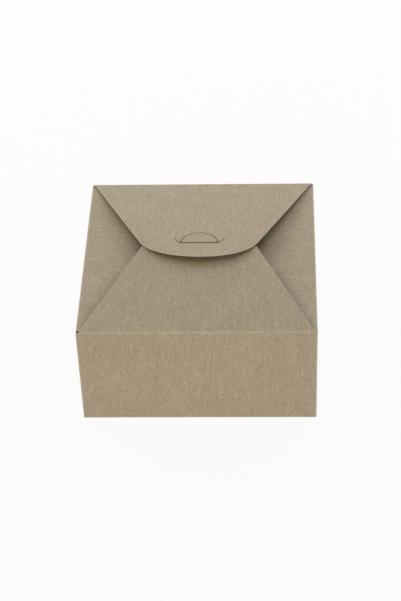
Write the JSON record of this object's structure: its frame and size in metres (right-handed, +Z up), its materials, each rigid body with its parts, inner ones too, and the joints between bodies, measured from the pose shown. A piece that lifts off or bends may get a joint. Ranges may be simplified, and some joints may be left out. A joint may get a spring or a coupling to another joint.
{
  "type": "folding gift box",
  "caption": "Square folding gift box of ribbed kraft board, with overlapping lid flaps locked by a half-moon tongue in a slit.",
  "frame": {"origin": "middle of the base, on the surface the box stands on", "axes": "+Z up, -Y the front wall whose lid flap carries the tongue, +X the right wall seen from the front"},
  "size_m": [0.16, 0.16, 0.0919],
  "materials": {
    "ribbed_kraft": "matt ribbed kraft board",
    "dried_glue": "dried white glue"
  },
  "bodies": {
    "carcass": {"front_wall": "ribbed_kraft", "right_wall": "ribbed_kraft", "rear_wall": "ribbed_kraft", "left_wall": "ribbed_kraft", "seam_flap": "ribbed_kraft", "seam_glue": "dried_glue", "base_front_panel": "ribbed_kraft", "base_front_tab": "ribbed_kraft", "base_front_glue": "dried_glue", "base_right_panel": "ribbed_kraft", "base_rear_panel": "ribbed_kraft", "base_rear_tab": "ribbed_kraft", "base_rear_glue": "dried_glue", "base_left_panel": "ribbed_kraft"},
    "rear_flap": {"rear_flap": "ribbed_kraft"},
    "front_flap": {"front_flap": "ribbed_kraft"},
    "left_flap": {"left_flap": "ribbed_kraft"},
    "right_flap": {"right_flap": "ribbed_kraft"},
    "tongue": {"tongue": "ribbed_kraft"}
  },
  "joints": [
    {"name": "rear_flap_crease", "type": "hinge", "parent": "carcass", "child": "rear_flap", "pos_m": [0, 0.08, 0.079], "axis": [-1, 0, 0], "range_deg": [0, 170]},
    {"name": "front_flap_crease", "type": "hinge", "parent": "carcass", "child": "front_flap", "pos_m": [0, -0.08, 0.079], "axis": [1, 0, 0], "range_deg": [0, 127.5]},
    {"name": "left_flap_crease", "type": "hinge", "parent": "carcass", "child": "left_flap", "pos_m": [-0.08, 0, 0.0781], "axis": [0, -1, 0], "range_deg": [0, 93.5]},
    {"name": "right_flap_crease", "type": "hinge", "parent": "carcass", "child": "right_flap", "pos_m": [0.08, 0, 0.0781], "axis": [0, 1, 0], "range_deg": [0, 93.5]},
    {"name": "tongue_crease", "type": "hinge", "parent": "front_flap", "child": "tongue", "pos_m": [0, 0.00069, 0.09025], "axis": [1, 0, 0], "range_deg": [0, 90]}
  ],
  "couplings": [
    {"joint": "front_flap_crease", "follows": "rear_flap_crease", "ratio": 0.75},
    {"joint": "left_flap_crease", "follows": "rear_flap_crease", "ratio": 0.55},
    {"joint": "right_flap_crease", "follows": "rear_flap_crease", "ratio": 0.55}
  ]
}
